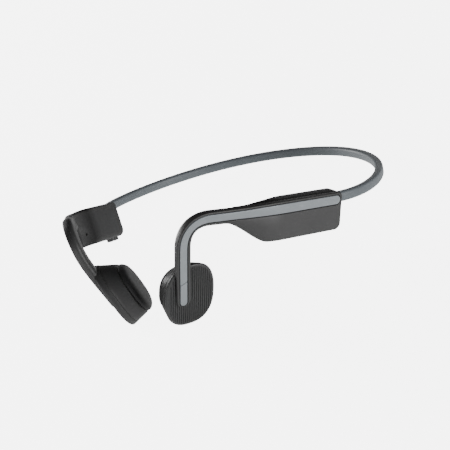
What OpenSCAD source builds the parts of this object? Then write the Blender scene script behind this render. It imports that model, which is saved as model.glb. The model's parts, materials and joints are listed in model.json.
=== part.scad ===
// Bone conduction headphones: a sprung neckband joins two ear hooks, each with a housing behind the
// ear and a transducer pod in front of it. Millimetres. Left is +X, the wearer faces -Y.
// Shapes are laid out as worn, with the housings' top edges level, and stand() sets them on a table.

/* [Fit] */
// Half the width over the housings' rear ends
half_width = 62; // [60:0.5:64]
// Toe-in of each housing, in degrees from straight ahead
toe_in = 16.3; // [15:0.1:17.5]
// Inward lean of each housing from top to bottom, in degrees
lean_in = 12.75; // [11.5:0.25:14]

/* [Housing] */
// Height of the housing
housing_h = 15.4; // [15:0.1:15.6]
// Thickness of the housing from its outer to its inner face
housing_t = 8.7; // [8.6:0.1:9.2]
// Thickness of the outer plate, which runs on into the ear hook
plate_t = 2.4; // [2.3:0.1:2.5]
// Wall thickness of the inner shell
wall = 1.1; // [1:0.1:1.3]

/* [Ear hook] */
// Width of the hook
hook_w = 5.7; // [5.5:0.1:5.9]
// Width of the arm that comes down to the pod
arm_w = 6.1; // [5.8:0.1:6.3]
// Thickness of the hook and the arm
hook_t = 3.9; // [3.8:0.1:4.2]
// Diameter of the sprung wire in the hook
hook_wire_d = 1; // [0.8:0.1:1.1]

/* [Accent strip] */
// Width of the strip on the housing
strip_w = 3.6; // [3.3:0.1:3.8]
// Width of the strip on the hook
strip_w_hook = 3; // [2.8:0.1:3.1]
// Thickness of the strip
strip_t = 0.8; // [0.7:0.05:0.85]
// Length of the button at the strip's lower end
button_l = 10.6; // [10:0.2:12]

/* [Pod] */
// Half the width of the pod
pod_a = 10.5; // [10:0.1:10.8]
// Reach of the pod above its centre
pod_up = 15.1; // [14.6:0.1:15.4]
// Reach of the pod below its centre
pod_down = 13.6; // [13.2:0.1:13.8]
// Thickness of the pod
pod_t = 11.6; // [11.4:0.1:12]

/* [Neckband] */
// Height of the sleeve
band_h = 4.2; // [4:0.1:4.4]
// Thickness of the sleeve
band_t = 3.6; // [3.4:0.1:3.8]
// Diameter of the sprung wire in the band
band_wire_d = 1.2; // [1:0.1:1.3]

/* [Keys and port] */
// Travel of the keys and the button
key_travel = 0.4; // [0.3:0.05:0.45]
// How far the volume keys stand out of the housing
key_proud = 1.3; // [0.8:0.1:1.5]

/* [Hidden] */

// The strip's centre line lies this far below the housing's top edge
strip_drop = 2.9;
// The strip runs this far above the middle of the hook, and of the arm
hook_offset = 0.3;
arm_offset = 0.4;
// The hook leaves the housing this far from its rear end, and heads in by this angle
straight_l = 32;
hook_heading = 39;
// Gap around a piece that sits in a recess, and between pieces that are fitted
gap = 0.3;
fit = 0.08;
// Radii of the plate's rear corners and of its edges
corner_top = 1.5;
corner_low = 2.8;
edge_r = 1.1;
// Directions of the housing and the pod: forward, down the face, and out of it
pod_yaw = 27.6;
pod_lean = 28.9;
pod_turn = 8;
housing_fwd = forward(toe_in);
housing_down = downward(toe_in, lean_in);
housing_out = outward(toe_in, lean_in);
pod_fwd = cos(pod_turn) * forward(pod_yaw) + sin(pod_turn) * downward(pod_yaw, pod_lean);
pod_down_dir = cos(pod_turn) * downward(pod_yaw, pod_lean) - sin(pod_turn) * forward(pod_yaw);
pod_out = outward(pod_yaw, pod_lean);
housing_corner = [half_width, 0, 0];
pod_centre = [18.4, -50.2, -32.7];
// The arm's centre line on the pod: how far forward, how far down it ends, how far it stands out
arm_fwd = 3.6;
arm_end = 2.9;
arm_out = 1.7;
// Points of the hook's centre line, on its outer face
hook_start = housing_corner + straight_l * housing_fwd + strip_drop * housing_down;
hook_run = [42, -46.7, -3];
bend_start = [35.2, -55.4, -3];
bend_end = [26.1, -62.4, -13.4];
arm_tip = pod_centre + arm_fwd * pod_fwd + arm_end * pod_down_dir + arm_out * pod_out;
run_dir = forward(hook_heading);
drop_dir = unit([-0.27, 0.2, -0.94]);
spine = [
    line_curve(housing_corner + strip_drop * housing_down, hook_start),
    curve(hook_start, housing_fwd, hook_run, run_dir, 6.5),
    line_curve(hook_run, bend_start),
    curve(bend_start, run_dir, bend_end, drop_dir, 6.8),
    curve(bend_end, drop_dir, arm_tip, pod_down_dir, 8)];
seg_l = [for (b = spine) curve_length(b)];
seg_start = [for (i = [0:5]) sum_to(seg_l, i)];
side_l = seg_start[5];
// The inner shell ends here, where the hook takes its full thickness
shell_end = seg_start[2] + 2;
// Stations of the rings along the side, closer together at its ends and in its bends
rear_rings = [0, 0.3, 0.8, 1.6, 2.8];
housing_rings = [6, 14, 22, 30];
front_rings = [for (k = [0:9]) 33 + k * (shell_end - 33) / 9];
bend_rings = [for (k = [0:11]) seg_start[3] - 3 + k * 2];
arm_rings = [for (k = [1:6]) seg_start[4] + 4 + k * 3];
tip_rings = [for (h = [2.6, 2, 1.4, 0.8, 0.3, 0]) side_l - h];
// The button begins here and the strip ends just before it
button_start = side_l - 1 - button_l;
// The neckband's centre line from the left housing to the middle of the back
band_exit = housing_corner + 2.3 * (-housing_out) + 2.3 * housing_down;
band_heading = 34.5;
band_back = [0, 81.5, 15];
band_half = [band_exit, band_exit - 28.4 * forward(band_heading) + [0, 0, 1.9],
    band_back + [52.5, 0, 0], band_back];
band_tuck = 2.5;
band_steps = 23;
// How the headphones stand on a table: tipped back until pods and band touch it
rest_tilt = 24.26;
rest_shift = [0, -7.5, 22];
// Transducer: its axis on the pod, and its levels measured outwards from the pod's centre plane
drive_x = -1.1;
drive_y = 1.7;
yoke_top = -4.1;
yoke_h = 3.2;
yoke_r = 7;
magnet_r = 4.7;
magnet_h = 1.5;
plate_h = 0.5;
spring_z = -8.1;
// Levels of the pod's pieces on the same axis
cap_face = 0.6;
cap_back = -2.6;
shell_back = -8.3;
// Places of the keys and the port on the right housing, forward along its lower edge
key_w = 3.2;
key_z = -4.9;
rear_key = [3.4, 7.6];
front_key = [8.4, 12.6];
port_x = 28.6;
port_z = -4.75;
port_half = 4.47;
port_r = 1.6;
port_depth = 7;
tongue_half = 3.3;
cover_x = [23.1, 34.2];
cover_w = 3.9;
cover_t = 0.7;
cover_pin = [cover_x[1] - 0.35, housing_h - 0.4, -4];
light_x = 20;
mic_place = [40.5, 10.5, -1.86];
mic_turn = 17.9;
board_z = -3.15;

function forward(yaw) = [-sin(yaw), -cos(yaw), 0];
function downward(yaw, lean) = [-cos(yaw) * sin(lean), sin(yaw) * sin(lean), -cos(lean)];
function outward(yaw, lean) = [cos(yaw) * cos(lean), -sin(yaw) * cos(lean), -sin(lean)];
function unit(v) = v / norm(v);
function mix(a, b, w) = a + (b - a) * w;
function ease(x) = let (c = min(1, max(0, x))) c * c * (3 - 2 * c);
function sum_to(v, n) = n == 0 ? 0 : v[n - 1] + sum_to(v, n - 1);
function bezier(p, t) = pow(1 - t, 3) * p[0] + 3 * pow(1 - t, 2) * t * p[1]
    + 3 * (1 - t) * t * t * p[2] + pow(t, 3) * p[3];
function bezier_dir(p, t) = unit(pow(1 - t, 2) * (p[1] - p[0]) + 2 * (1 - t) * t * (p[2] - p[1])
    + t * t * (p[3] - p[2]));
function curve(a, da, b, db, reach) = [a, a + reach * da, b - reach * db, b];
function line_curve(a, b) = [a, mix(a, b, 1 / 3), mix(a, b, 2 / 3), b];
function curve_length(p) = sum_to([for (k = [0:15]) norm(bezier(p, (k + 1) / 16) - bezier(p, k / 16))], 16);
// Station on the side: point, direction, outward normal and the way down the face
function seg_of(l) = l < seg_start[1] ? 0 : l < seg_start[2] ? 1 : l < seg_start[3] ? 2
    : l < seg_start[4] ? 3 : 4;
function side_at(l) = let (i = seg_of(l), t = (l - seg_start[i]) / seg_l[i], dir = bezier_dir(spine[i], t),
    w = ease((l - seg_start[1]) / (seg_start[4] - seg_start[1])),
    n0 = mix(housing_out, pod_out, w), n = unit(n0 - (n0 * dir) * dir))
    [bezier(spine[i], t), dir, n, cross(n, dir)];
// Rounded end: how far a corner of radius r has drawn in at a distance x from the end
function drawn_in(x, r) = x >= r ? 0 : r - sqrt(r * r - (r - x) * (r - x));
// Reach of the side's outline above and below the strip's centre line
function hook_half(l, side) = let (w = ease((l - seg_start[3]) / seg_l[3]))
    mix(hook_w, arm_w, w) / 2 + side * mix(hook_offset, arm_offset, w);
function above(l) = mix(strip_drop, hook_half(l, -1), ease((l - straight_l) / 20))
    - drawn_in(l, corner_top) - drawn_in(side_l - l, arm_w / 2) * 0.95;
function below(l) = mix(housing_h - strip_drop, hook_half(l, 1), ease((l - 39.5) / 18))
    - drawn_in(l, corner_low) - drawn_in(side_l - l, arm_w / 2) * 0.95;
// Inner face of the housing, which sinks to the hook's thickness at the front
function shell_depth(l) = mix(housing_t, hook_t, ease((l - 27) / (shell_end - 27))) - drawn_in(l, 1.8);
// The shell's top edge is crowned by this much
crown = 0.2;
// Cut of the soft bevel on the inner face's lower front corner
function bevel(l) = mix(1.6, 5.2, ease((l - 26) / 18)) * min(1, (below(l) - 1.6) / 6);
// Outline of a section, in the way down the face and the depth behind it
function corner(x, y, r, a0, n) = [for (k = [0:n]) let (a = a0 + 90 * k / n)
    [x + r * cos(a), y + r * sin(a)]];
function section(w0, w1, d0, d1, ro, ri) = concat(corner(w0 + ro, d0 + ro, ro, 180, 3),
    corner(w1 - ro, d0 + ro, ro, 270, 3), corner(w1 - ri, d1 - ri, ri, 0, 3),
    corner(w0 + ri, d1 - ri, ri, 90, 3));
function on_side(l, pts) = let (f = side_at(l)) [for (p = pts) f[0] + p[0] * f[3] - p[1] * f[2]];
// Neckband: station, with the way up as near to vertical as it goes
function band_at(t) = let (d = bezier_dir(band_half, max(0, t)))
    t < 0 ? [band_half[0] + t * d, d] : [bezier(band_half, t), d];
function band_ring(f, pts) = let (out = unit(cross(f[1], [0, -0.18, 0.98])), up = cross(out, f[1]))
    [for (p = pts) f[0] + p[0] * out + p[1] * up];
function flip_x(ring) = [for (p = ring) [-p[0], p[1], p[2]]];
function reversed(v) = [for (i = [len(v) - 1:-1:0]) v[i]];
function band_rings(pts, tuck) = let (half = concat([for (x = [-tuck, -0.01]) band_ring(band_at(x), pts)],
    [for (k = [1:band_steps]) band_ring(band_at(k / band_steps), pts)]))
    concat(half, [for (i = [len(half) - 2:-1:0]) flip_x(half[i])]);
function circle_pts(r, n, x, y) = [for (k = [0:n - 1]) let (a = 360 * k / n)
    [x + r * cos(a), y + r * sin(a)]];
function box_pts(w, h, r) = let (x = w / 2 - r, y = h / 2 - r)
    concat(corner(x, y, r, 0, 2), corner(-x, y, r, 90, 2),
        corner(-x, -y, r, 180, 2), corner(x, -y, r, 270, 2));
// Outline of the pod at a level, drawn in by inset: a rounded shield that narrows towards the face
function power(c, n) = sign(c) * pow(abs(c), 2 / n);
function pod_ring(z, inset) = let (w = min(1, max(0, -z / 9.9)), a = mix(pod_a, 0.955 * pod_a, w) - inset,
    up = mix(pod_up, 0.72 * pod_up, w) - inset, dn = mix(pod_down, 0.72 * pod_down, w) - inset)
    [for (k = [0:39]) let (c = cos(9 * k), s = sin(9 * k))
        [-1.3 * w + a * power(c, 2.5), 2.3 * w + (s < 0 ? up : dn) * power(s, 2.45), z]];

// A solid through a list of rings with the same number of points
module loft(rings) {
    n = len(rings[0]);
    m = len(rings);
    side_faces = [for (i = [0:m - 2]) for (j = [0:n - 1]) let (a = i * n + j, b = i * n + (j + 1) % n)
        each [[a, b, b + n], [a, b + n, a + n]]];
    polyhedron([for (r = rings) each r], concat([[for (j = [n - 1:-1:0]) j]], side_faces,
        [[for (j = [0:n - 1]) (m - 1) * n + j]]), convexity = 8);
}

module stand() { translate(rest_shift) rotate([-rest_tilt, 0, 0]) children(); }
module right_side() { mirror([1, 0, 0]) children(); }
// Local axes: x forward, y down the face, z out of it
module on_housing() {
    translate(housing_corner) rotate([-90 - lean_in, 0, -90 - toe_in]) children();
}
module on_pod() {
    translate(pod_centre) rotate([-90 - pod_lean, 0, -90 - pod_yaw]) rotate([0, 0, pod_turn]) children();
}
module block(low, high) { translate(low) cube(high - low); }

// A strip sunk in the outer face from station l0 to l1, with round ends
module strip_solid(l0, l1, d0, d1, grow, round0, round1) {
    inner = [for (k = [1:30]) mix(l0 + 2.6, l1 - 2.6, k / 31)];
    ends = [0, 0.3, 0.9, 1.6, 2.6];
    stations = concat([for (e = ends) l0 + e], inner, [for (e = reversed(ends)) l1 - e]);
    loft([for (l = stations) let (
        full = mix(strip_w, strip_w_hook, ease((l - straight_l) / 25)) / 2 + grow,
        g = max(0.25, full - (round0 ? drawn_in(l - l0, full) : 0) - (round1 ? drawn_in(l1 - l, full) : 0)))
        on_side(l, [[-g, d0 + 0.15], [-g + 0.15, d0], [g - 0.15, d0], [g, d0 + 0.15], [g, d1], [-g, d1]])]);
}
// A round lead along the side, behind the outer face
module side_lead(l0, l1, d, w, r) {
    loft([for (k = [0:26]) let (l = mix(l0, l1, k / 26)) on_side(l, circle_pts(r, 8, w, d))]);
}
module band_lead(r, tuck, x, y) { loft(band_rings(circle_pts(r, 8, x, y), tuck)); }
module band_body(grow, tuck) { loft(band_rings(box_pts(band_t + 2 * grow, band_h + 2 * grow, 1.2), tuck)); }

// The plate, hook and arm in one piece, moulded over its wire and cable
module hook_body(grow) {
    housing_part = concat(rear_rings, housing_rings, front_rings);
    stations = concat(housing_part, [shell_end + 0.05], bend_rings, arm_rings, tip_rings);
    loft([for (l = stations) let (full = l > shell_end ? hook_t : plate_t, r_in = l > shell_end ? 1.9 : 0.2,
        a = max(0.5, above(l)) + grow, b = max(0.5, below(l)) + grow, r = min(edge_r, a * 0.8))
        on_side(l, section(-a, b, -grow, full + grow, r, min(r_in, a * 0.8)))]);
}
module leads_way(l0) {
    side_lead(l0, side_l - 4.7, 1.9, -0.85, hook_wire_d / 2 + 0.1);
    side_lead(l0, side_l - 7, 1.9, 0.95, 0.6);
}
module ear_hook_frame(is_left) {
    button_extra = is_left ? key_travel + 0.25 : 0;
    difference() {
        hook_body(0);
        strip_solid(1.5 - gap, button_start, -1, strip_t, gap, true, false);
        strip_solid(button_start - 0.01, side_l - 1 + gap, -1, strip_t + button_extra, gap, false, true);
        leads_way(40);
        band_body(0.12, band_tuck + 0.2);
        cable_way();
        if (is_left) switch_room();
    }
}
module switch_room() {
    on_pod() block([arm_fwd - 1.55, -1.7, arm_out - 2.2], [arm_fwd + 1.55, 1.5, arm_out - 1.2]);
}
module left_ear_hook_frame() { color("#3a3a3c") stand() ear_hook_frame(true); }
module right_ear_hook_frame() { color("#3a3a3c") stand() right_side() ear_hook_frame(false); }

// Inner half of the housing, hollow, closed by the plate
module shell_body(shrink, l0, l1, d0) {
    mid = [for (k = [1:9]) mix(l0 + 3, l1 - 0.5, k / 10)];
    stations = concat([for (h = [0, 0.3, 0.9, 1.8, 3]) l0 + h], mid, [l1]);
    loft([for (l = stations) let (a = above(l) + 0.1 - shrink, b = below(l) - shrink,
        d1 = max(d0 + 0.6, shell_depth(l) - shrink), c = bevel(l) * (shrink > 0 ? 0.8 : 1),
        low = min(c * 0.75, d1 - d0 - 0.2), r = min(1.7, (d1 - d0) * 0.6),
        up = crown * min(1, (d1 - d0) / 5))
        on_side(l, [[-a, d0], [b, d0], [b, mix(d0, d1 - low, 0.5)], [b, d1 - low],
            [b - 0.3 * c, d1 - 0.45 * low], [b - c, d1], [(b - a) / 2, d1], [-a + r, d1],
            [-a - 0.4 * up + 0.3 * r, d1 - 0.3 * r], [-a - up, d1 - r], [-a - up, mix(d0, d1 - r, 0.4)]])]);
}
module housing_shell_body(is_left) {
    difference() {
        shell_body(0, 0, shell_end - 0.05, plate_t + 0.05);
        difference() {
            shell_body(wall, wall, shell_end - 3, plate_t - 0.5);
            on_housing() block([-1, -3, -12], [3.2, 9, 3]);
        }
        on_housing() block([2, 1.1, -6.4], [3.6, 4.8, -2]);
        band_body(0.12, band_tuck + 0.4);
        leads_way(40);
        if (is_left == false) shell_openings();
    }
}
module shell_openings() {
    on_housing() {
        for (k = [rear_key, front_key])
            block([k[0] - 0.1, housing_h - 4, key_z - key_w / 2 - 0.1],
                [k[1] + 0.1, housing_h + 2, key_z + key_w / 2 + 0.1]);
        port_slot(0.05, housing_h - 4, housing_h + 2);
        cover_block(0.22);
        translate(cover_pin) cylinder(r = 0.45, h = 2.5, center = true, $fn = 24);
        translate([light_x, housing_h - 3, key_z]) rotate([-90, 0, 0]) cylinder(r = 0.5, h = 5, $fn = 24);
    }
    at_microphone() translate([0, 0, -9]) cylinder(r = 0.6, h = 5.2, $fn = 24);
}
module at_microphone() { on_housing() translate(mic_place) rotate([0, mic_turn, 0]) children(); }
module left_housing_shell() { color("#404043") stand() housing_shell_body(true); }
module right_housing_shell() { color("#404043") stand() right_side() housing_shell_body(false); }

// Accent strip, let into the plate and the hook
module left_accent_strip() {
    color("#959ba0") stand() strip_solid(1.5, button_start - 0.12, -0.12, strip_t - 0.05, 0, true, false);
}
module right_accent_strip() {
    color("#959ba0") stand() right_side()
        strip_solid(1.5, side_l - 1, -0.12, strip_t - 0.05, 0, true, true);
}
module multifunction_button() {
    color("#959ba0") stand()
        strip_solid(button_start + 0.12, side_l - 1, -0.12, strip_t - 0.05, -0.02, false, true);
}
module multifunction_switch() {
    color("#c8b070") stand() on_pod() {
        block([arm_fwd - 1.4, -1.55, arm_out - 2.1], [arm_fwd + 1.4, 1.35, arm_out - 1.55]);
        translate([arm_fwd, -0.1, arm_out - 1.56]) cylinder(r = 0.9, h = 0.25, $fn = 32);
    }
}

module hook_spring_wire() { side_lead(41, side_l - 5, 1.9, -0.85, hook_wire_d / 2); }
module hook_cable() {
    side_lead(41, side_l - 7.6, 1.9, 0.95, 0.5);
    on_pod() translate([arm_fwd - 0.95, -4.6, -4]) cylinder(r = 0.5, h = 3.6, $fn = 24);
}
module left_hook_spring_wire() { color("#b9bcc0") stand() hook_spring_wire(); }
module right_hook_spring_wire() { color("#b9bcc0") stand() right_side() hook_spring_wire(); }
module left_hook_cable() { color("#7a3030") stand() hook_cable(); }
module right_hook_cable() { color("#7a3030") stand() right_side() hook_cable(); }

// Neckband: a soft sleeve over a sprung wire and the cable that joins the two housings
module neckband_sleeve() {
    color("#6f797f") stand() difference() {
        band_body(0, band_tuck);
        band_lead(band_wire_d / 2 + fit, band_tuck + 0.5, 0, 0.95);
        band_lead(0.55 + fit, band_tuck + 0.5, 0, -0.95);
    }
}
module neckband_spring_wire() { color("#b9bcc0") stand() band_lead(band_wire_d / 2, 5.5, 0, 0.95); }
module neckband_cable() { color("#26262a") stand() band_lead(0.55, 4, 0, -0.95); }
module band_clamp() {
    difference() {
        on_housing() block([4, 1.35, -4.3], [6.6, 4.2, -2.5]);
        band_lead(band_wire_d / 2 + fit, 6.5, 0, 0.95);
        band_lead(0.75, 6.5, 0, -0.95);
    }
}
module left_band_clamp() { color("#a8acb0") stand() band_clamp(); }
module right_band_clamp() { color("#a8acb0") stand() right_side() band_clamp(); }

// Pod: a ribbed cap outside, a shell, and a soft pad that rests on the cheekbone
module pod_cap() {
    levels = [[cap_face, 1.9], [0.45, 1.2], [0.1, 0.6], [-0.6, 0.1], [-1.2, 0], [cap_back, 0]];
    difference() {
        on_pod() loft([for (l = levels) pod_ring(l[0], l[1])]);
        hook_body(fit);
        cable_way();
    }
}
// The hook's cable turns in here from the arm to the transducer
module cable_way() { on_pod() translate([arm_fwd - 0.95, -4.6, -5]) cylinder(r = 0.75, h = 5.4, $fn = 24); }
module pod_shell() {
    levels = [[cap_back - 0.05, 0], [-5, 0], [-7.6, 0], [shell_back, 0.35]];
    hollow = [[cap_back - 1.2, 1.3], [-6, 1.2], [shell_back - 1, 1.2]];
    difference() {
        on_pod() loft([for (l = levels) pod_ring(l[0], l[1])]);
        on_pod() loft([for (l = hollow) pod_ring(l[0], l[1])]);
        hook_body(fit);
        cable_way();
    }
}
module contact_pad() {
    levels = [[shell_back - 0.05, 0.35], [-8.7, 0], [-9.6, 0.1], [-10.3, 0.8], [-10.8, 2.2],
        [cap_face - pod_t, 4]];
    hollow = [[shell_back + 1, 1.6], [-9.3, 1.6], [-9.5, 2.6]];
    difference() {
        on_pod() loft([for (l = levels) pod_ring(l[0], l[1])]);
        on_pod() loft([for (l = hollow) pod_ring(l[0], l[1])]);
    }
}
module left_pod_cap() { color("#2c2c2e") stand() pod_cap(); }
module right_pod_cap() { color("#2c2c2e") stand() right_side() pod_cap(); }
module left_pod_shell() { color("#2f2f31") stand() pod_shell(); }
module right_pod_shell() { color("#2f2f31") stand() right_side() pod_shell(); }
module left_contact_pad() { color("#3c3c3f") stand() contact_pad(); }
module right_contact_pad() { color("#3c3c3f") stand() right_side() contact_pad(); }

// Transducer: a steel cup with a magnet, a top plate, and a coil on a spring plate that drives the pad
module on_drive(z) { on_pod() translate([drive_x, drive_y, z]) children(); }
module transducer_yoke() {
    on_drive(yoke_top - yoke_h) difference() {
        cylinder(r = yoke_r, h = yoke_h, $fn = 48);
        translate([0, 0, -1]) cylinder(r = yoke_r - 0.7, h = yoke_h + 0.3, $fn = 48);
    }
}
module transducer_magnet() {
    on_drive(yoke_top - 0.7 - magnet_h) cylinder(r = magnet_r, h = magnet_h - 0.02, $fn = 48);
}
module transducer_top_plate() {
    on_drive(yoke_top - 0.7 - magnet_h - plate_h) cylinder(r = magnet_r, h = plate_h - 0.02, $fn = 48);
}
module voice_coil() {
    on_drive(spring_z + 0.35) difference() {
        cylinder(r = magnet_r + 1.2, h = 2.2, $fn = 48);
        translate([0, 0, -1]) cylinder(r = magnet_r + 0.35, h = 4, $fn = 48);
    }
}
module spring_plate() {
    on_drive(spring_z) difference() {
        cylinder(r = 7.5, h = 0.3, $fn = 48);
        for (a = [0, 120, 240]) rotate([0, 0, a]) translate([6.6, -2, -1]) cube([0.5, 4, 2]);
        translate([0, 0, -1]) cylinder(r = 1.5, h = 2, $fn = 32);
    }
}
module left_transducer_yoke() { color("#8d9094") stand() transducer_yoke(); }
module right_transducer_yoke() { color("#8d9094") stand() right_side() transducer_yoke(); }
module left_transducer_magnet() { color("#c5c8cc") stand() transducer_magnet(); }
module right_transducer_magnet() { color("#c5c8cc") stand() right_side() transducer_magnet(); }
module left_transducer_top_plate() { color("#9a9da1") stand() transducer_top_plate(); }
module right_transducer_top_plate() { color("#9a9da1") stand() right_side() transducer_top_plate(); }
module left_voice_coil() { color("#b5713a") stand() voice_coil(); }
module right_voice_coil() { color("#b5713a") stand() right_side() voice_coil(); }
module left_spring_plate() { color("#c9b37a") stand() spring_plate(); }
module right_spring_plate() { color("#c9b37a") stand() right_side() spring_plate(); }

// Left housing: battery pouch and its board
module battery_cell() { color("#7f93b5") stand() on_housing() block([8.2, 2.2, -6.6], [33, 11.6, -2.7]); }
module battery_protection_board() {
    color("#2e6b3f") stand() on_housing() block([33.3, 3, -5.4], [36.5, 9.6, -4.6]);
}

// Right housing: board, radio module, charging port, keys, microphone and light pipe
module main_board() {
    color("#2e6b3f") stand() right_side() on_housing() block([3.6, 4.6, board_z], [33, 11.6, board_z + 0.7]);
}
module bluetooth_module() {
    color("#202226") stand() right_side() on_housing()
        block([13.5, 5, board_z - 1.4], [21.5, 10.8, board_z - 0.04]);
}
module port_slot(grow, y0, y1) {
    reach = port_half - port_r;
    for (sx = [-1, 1]) translate([port_x + sx * reach, y0, port_z]) rotate([-90, 0, 0])
        cylinder(r = port_r + grow, h = y1 - y0, $fn = 32);
    block([port_x - reach, y0, port_z - port_r - grow], [port_x + reach, y1, port_z + port_r + grow]);
}
module usb_c_receptacle() {
    mouth = housing_h - cover_t;
    back = mouth - port_depth;
    color("#b9bcc0") stand() right_side() on_housing() {
        difference() {
            port_slot(0, back, mouth - 0.1);
            port_slot(-0.3, back + 0.8, 20);
        }
        block([port_x - tongue_half, back + 0.7, port_z - 0.35],
            [port_x + tongue_half, mouth - 1.6, port_z + 0.35]);
    }
}
module cover_block(grow) {
    block([cover_x[0] - grow, housing_h - cover_t + 0.05 - grow * 0.9, port_z - cover_w / 2 - grow],
        [cover_x[1] + grow, housing_h + 2, port_z + cover_w / 2 + grow]);
}
module port_cover() {
    inner = housing_h - cover_t;
    color("#2b2b2d") stand() right_side() {
        intersection() {
            shell_body(0, 0, shell_end, plate_t + 0.05);
            on_housing() cover_block(0);
        }
        on_housing() {
            for (z = [port_z - 1, port_z + 0.5])
                block([port_x - tongue_half, inner - 1, z], [port_x + tongue_half, inner + 0.2, z + 0.5]);
            translate(cover_pin) cylinder(r = 0.35, h = 2.2, center = true, $fn = 24);
        }
    }
}
module volume_key(span) {
    half = key_w / 2;
    flange = half + 0.3;
    block([span[0], housing_h - 1.6, key_z - half], [span[1], housing_h + key_proud, key_z + half]);
    block([span[0] - 0.3, housing_h - 2, key_z - flange], [span[1] + 0.3, housing_h - 1.25, key_z + flange]);
}
module volume_up_key() { color("#1f1f21") stand() right_side() on_housing() volume_key(front_key); }
module volume_down_key() { color("#1f1f21") stand() right_side() on_housing() volume_key(rear_key); }
module volume_switches() {
    color("#c8c8cc") stand() right_side() on_housing() for (k = [rear_key, front_key]) {
        x = (k[0] + k[1]) / 2;
        block([x - 1.7, housing_h - 5.8, key_z - 1.3], [x + 1.7, housing_h - 3.3, board_z - 0.04]);
        translate([x, housing_h - 3.4, key_z]) rotate([-90, 0, 0]) cylinder(r = 0.7, h = 0.5, $fn = 24);
    }
}
module voice_microphone() {
    color("#c9b37a") stand() right_side() at_microphone() block([-1.4, -1.2, -3.75], [1.4, 1.2, -2.7]);
}
module microphone_gasket() {
    color("#1c1c1e") stand() right_side() at_microphone() difference() {
        translate([0, 0, -4.02]) cylinder(r = 1, h = 0.26, $fn = 32);
        translate([0, 0, -7]) cylinder(r = 0.6, h = 5, $fn = 24);
    }
}
module status_light_pipe() {
    color("#e8ecf0") stand() right_side() on_housing() translate([light_x, housing_h - 2.6, key_z])
        rotate([-90, 0, 0]) cylinder(r = 0.45, h = 2.6, $fn = 24);
}

neckband_sleeve();
neckband_spring_wire();
neckband_cable();
left_ear_hook_frame();
right_ear_hook_frame();
left_housing_shell();
right_housing_shell();
left_accent_strip();
right_accent_strip();
multifunction_button();
multifunction_switch();
left_hook_spring_wire();
right_hook_spring_wire();
left_hook_cable();
right_hook_cable();
left_band_clamp();
right_band_clamp();
left_pod_cap();
right_pod_cap();
left_pod_shell();
right_pod_shell();
left_contact_pad();
right_contact_pad();
left_transducer_yoke();
right_transducer_yoke();
left_transducer_magnet();
right_transducer_magnet();
left_transducer_top_plate();
right_transducer_top_plate();
left_voice_coil();
right_voice_coil();
left_spring_plate();
right_spring_plate();
battery_cell();
battery_protection_board();
main_board();
bluetooth_module();
usb_c_receptacle();
port_cover();
volume_up_key();
volume_down_key();
volume_switches();
voice_microphone();
microphone_gasket();
status_light_pipe();
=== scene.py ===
"""Bone conduction headphones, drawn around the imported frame.

The shapes follow the same lay-out as the frame: one side is drawn as worn, in millimetres, with the
left at +X and the wearer facing -Y. stand() then sets it on the table, in metres, and the right side
is the mirror of the left. A station l is a distance along a side, from its rear end to the arm's tip.
"""

import json
import math

import bmesh
import bpy
import numpy as np
from mathutils import Matrix, Vector


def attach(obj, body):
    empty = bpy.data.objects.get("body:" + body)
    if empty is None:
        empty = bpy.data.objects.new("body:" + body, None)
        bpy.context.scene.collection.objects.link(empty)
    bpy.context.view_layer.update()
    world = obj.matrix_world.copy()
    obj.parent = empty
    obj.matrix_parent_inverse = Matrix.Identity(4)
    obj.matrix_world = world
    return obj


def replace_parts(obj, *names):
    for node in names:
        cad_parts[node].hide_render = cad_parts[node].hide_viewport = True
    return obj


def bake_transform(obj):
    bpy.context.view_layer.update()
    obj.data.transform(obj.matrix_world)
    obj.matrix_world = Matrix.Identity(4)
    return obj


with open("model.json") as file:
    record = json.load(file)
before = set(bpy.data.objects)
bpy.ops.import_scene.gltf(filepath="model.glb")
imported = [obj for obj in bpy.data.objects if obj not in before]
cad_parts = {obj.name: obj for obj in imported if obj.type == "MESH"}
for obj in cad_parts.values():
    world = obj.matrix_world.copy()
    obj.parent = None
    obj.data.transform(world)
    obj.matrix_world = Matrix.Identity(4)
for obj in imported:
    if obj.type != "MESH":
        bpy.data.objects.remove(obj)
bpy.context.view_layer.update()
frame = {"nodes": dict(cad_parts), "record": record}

MM = 0.001

# ---------------------------------------------------------------- the object's own dimensions, in mm
HALF_WIDTH = 62
TOE_IN, LEAN_IN = 16.3, 12.75
HOUSING_H, HOUSING_T, PLATE_T = 15.4, 8.7, 2.4
HOOK_W, ARM_W, HOOK_T = 5.7, 6.1, 3.9
HOOK_OFFSET, ARM_OFFSET = 0.3, 0.4
STRIP_W, STRIP_W_HOOK, STRIP_T, BUTTON_L = 3.6, 3.0, 0.8, 10.6
STRIP_DROP, STRAIGHT_L, HOOK_HEADING = 2.9, 32, 39
CORNER_TOP, CORNER_LOW, EDGE_R, CROWN = 1.5, 2.8, 1.1, 0.2
POD_A, POD_UP, POD_DOWN, POD_T = 10.5, 15.1, 13.6, 11.6
POD_YAW, POD_LEAN, POD_TURN = 27.6, 28.9, 8
CAP_FACE, CAP_BACK, SHELL_BACK = 0.6, -2.6, -8.3
POD_ROUND_X, POD_ROUND_Y, POD_STEPS = 2.5, 2.45, 144
RIB_PITCH, RIB_DEPTH, RIBS_BACK, RIM = 0.9, 0.42, -1.6, 0.75
BAND_H, BAND_T, BAND_HEADING, BAND_TUCK = 4.2, 3.6, 34.5, 2.5
KEY_Z, KEY_PROUD = -4.9, 1.3
REAR_KEY, FRONT_KEY = (3.4, 7.6), (8.4, 12.6)
PORT_X, PORT_Z, PORT_HALF, PORT_R = 28.6, -4.75, 4.47, 1.6
COVER_X, COVER_W, COVER_T = (23.1, 34.2), 3.9, 0.7
LIGHT_X, LIGHT_R = 20, 0.46
MIC_PLACE, MIC_TURN = (40.5, 10.5, -1.86), 17.9
WALL = 1.1
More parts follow.
